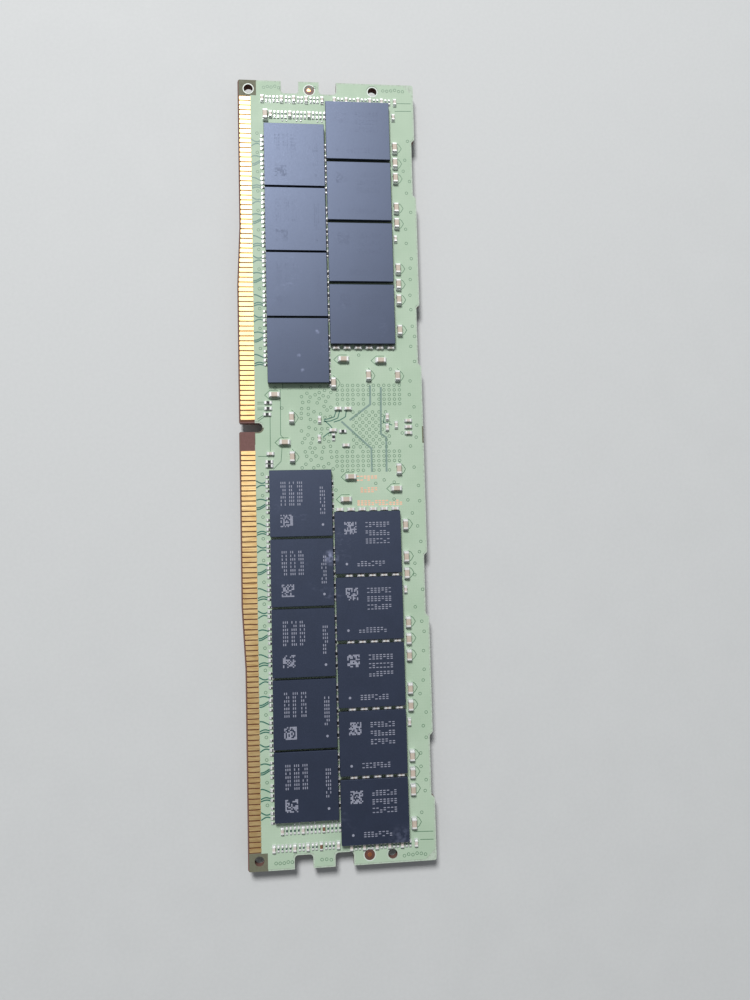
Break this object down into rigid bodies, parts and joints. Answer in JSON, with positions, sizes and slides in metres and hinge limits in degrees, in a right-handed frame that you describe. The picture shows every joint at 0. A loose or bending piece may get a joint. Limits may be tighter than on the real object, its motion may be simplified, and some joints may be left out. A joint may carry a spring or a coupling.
{
  "type": "ram module",
  "caption": "Registered memory module: a notched green card with gold edge contacts, square memory packages in two rows on both faces, and small ceramic capacitors.",
  "frame": {"origin": "centre of the footprint, at the height of the front packages' outer faces, which the module lies on", "axes": "+X along the card, with the longer contact group towards +X; +Y from the contact edge to the top edge; +Z out of the back face, which is the upper one"},
  "size_m": [0.1334, 0.0312, 0.0038],
  "materials": {
    "laminate": "glass-fibre epoxy laminate, routed edges",
    "solder_mask": "semi-gloss green solder mask",
    "gold_contacts": "hard gold plating, lightly rubbed",
    "package_moulding": "matt dark blue-grey moulding compound",
    "chip_moulding": "matt black moulding compound",
    "ceramic": "fired pinkish-brown ceramic with tinned ends"
  },
  "bodies": {
    "root": {"circuit_board": "laminate", "solder_mask_back": "solder_mask", "solder_mask_front": "solder_mask", "contacts_back_short": "gold_contacts", "contacts_back_long": "gold_contacts", "contacts_front_short": "gold_contacts", "contacts_front_long": "gold_contacts", "dram_back_lower_1": "package_moulding", "dram_back_lower_2": "package_moulding", "dram_back_lower_3": "package_moulding", "dram_back_lower_4": "package_moulding", "dram_back_lower_5": "package_moulding", "dram_back_lower_6": "package_moulding", "dram_back_lower_7": "package_moulding", "dram_back_lower_8": "package_moulding", "dram_back_lower_9": "package_moulding", "dram_back_upper_1": "package_moulding", "dram_back_upper_2": "package_moulding", "dram_back_upper_3": "package_moulding", "dram_back_upper_4": "package_moulding", "dram_back_upper_5": "package_moulding", "dram_back_upper_6": "package_moulding", "dram_back_upper_7": "package_moulding", "dram_back_upper_8": "package_moulding", "dram_back_upper_9": "package_moulding", "dram_front_lower_1": "package_moulding", "dram_front_lower_2": "package_moulding", "dram_front_lower_3": "package_moulding", "dram_front_lower_4": "package_moulding", "dram_front_lower_5": "package_moulding", "dram_front_lower_6": "package_moulding", "dram_front_lower_7": "package_moulding", "dram_front_lower_8": "package_moulding", "dram_front_lower_9": "package_moulding", "dram_front_upper_1": "package_moulding", "dram_front_upper_2": "package_moulding", "dram_front_upper_3": "package_moulding", "dram_front_upper_4": "package_moulding", "dram_front_upper_5": "package_moulding", "dram_front_upper_6": "package_moulding", "dram_front_upper_7": "package_moulding", "dram_front_upper_8": "package_moulding", "dram_front_upper_9": "package_moulding", "register_clock_driver": "chip_moulding", "spd_temperature_sensor": "chip_moulding", "capacitor_back_1": "ceramic", "capacitor_back_2": "ceramic", "capacitor_back_3": "ceramic", "capacitor_back_4": "ceramic", "capacitor_back_5": "ceramic", "capacitor_back_6": "ceramic", "capacitor_back_7": "ceramic", "capacitor_back_8": "ceramic", "capacitor_back_9": "ceramic", "capacitor_back_10": "ceramic", "capacitor_back_11": "ceramic", "capacitor_back_12": "ceramic", "capacitor_back_13": "ceramic", "capacitor_back_14": "ceramic"}
  },
  "joints": []
}
